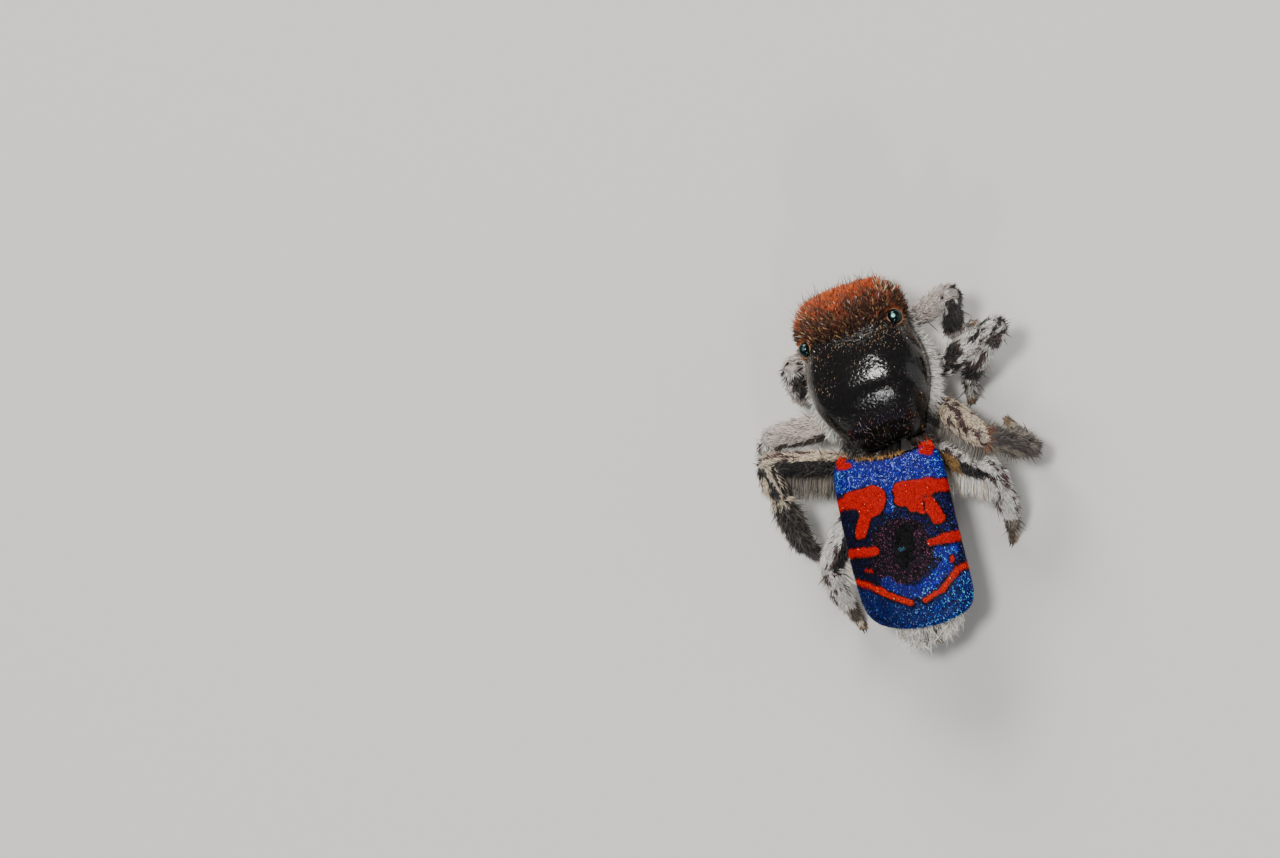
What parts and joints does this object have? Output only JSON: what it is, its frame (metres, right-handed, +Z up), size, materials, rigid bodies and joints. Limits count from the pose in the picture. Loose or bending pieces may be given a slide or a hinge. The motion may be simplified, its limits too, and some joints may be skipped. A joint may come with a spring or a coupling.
{
  "type": "peacock spider",
  "caption": "Life-size still model of an adult male peacock spider with a patterned blue and red abdomen plate, standing on its feet.",
  "frame": {"origin": "centre of the bounding box, on the ground that the feet rest on", "axes": "+Z up, the back; -Y ahead, where the head points; -X the spider's right"},
  "size_m": [0.0038, 0.0052, 0.0017],
  "materials": {
    "shell": "glossy black chitin with sparse gold scales and an orange cap of bristles",
    "dark_skin": "satin dark brown chitin",
    "dark_hair": "bushy dark grey brush",
    "pale_hair": "cream and white hairs with dark streaks over brown chitin",
    "plate": "glittering blue and red scales",
    "eye": "polished black lens"
  },
  "bodies": {
    "root": {"abdomen": "plate", "carapace": "shell", "chelicera_left": "dark_skin", "chelicera_right": "dark_skin", "eye_front_middle_left": "eye", "eye_front_middle_right": "eye", "eye_front_side_left": "eye", "eye_front_side_right": "eye", "eye_rear_side_left": "eye", "eye_rear_side_right": "eye", "eye_small_side_left": "eye", "eye_small_side_right": "eye", "leg_1_left_femur": "pale_hair", "leg_1_left_foot": "pale_hair", "leg_1_left_tibia": "pale_hair", "leg_1_right_femur": "pale_hair", "leg_1_right_foot": "pale_hair", "leg_1_right_tibia": "pale_hair", "leg_2_left_femur": "pale_hair", "leg_2_left_foot": "pale_hair", "leg_2_left_tibia": "pale_hair", "leg_2_right_femur": "pale_hair", "leg_2_right_foot": "pale_hair", "leg_2_right_tibia": "pale_hair", "leg_3_left_femur": "pale_hair", "leg_3_left_foot": "pale_hair", "leg_3_left_tibia": "dark_hair", "leg_3_right_femur": "pale_hair", "leg_3_right_foot": "pale_hair", "leg_3_right_tibia": "dark_hair", "leg_4_left_femur": "pale_hair", "leg_4_left_foot": "pale_hair", "leg_4_left_tibia": "pale_hair", "leg_4_right_femur": "pale_hair", "leg_4_right_foot": "pale_hair", "leg_4_right_tibia": "pale_hair", "palp_left": "pale_hair", "palp_right": "pale_hair", "pedicel": "dark_skin", "spinnerets": "dark_skin", "sternum_and_hips": "dark_skin"}
  },
  "joints": []
}
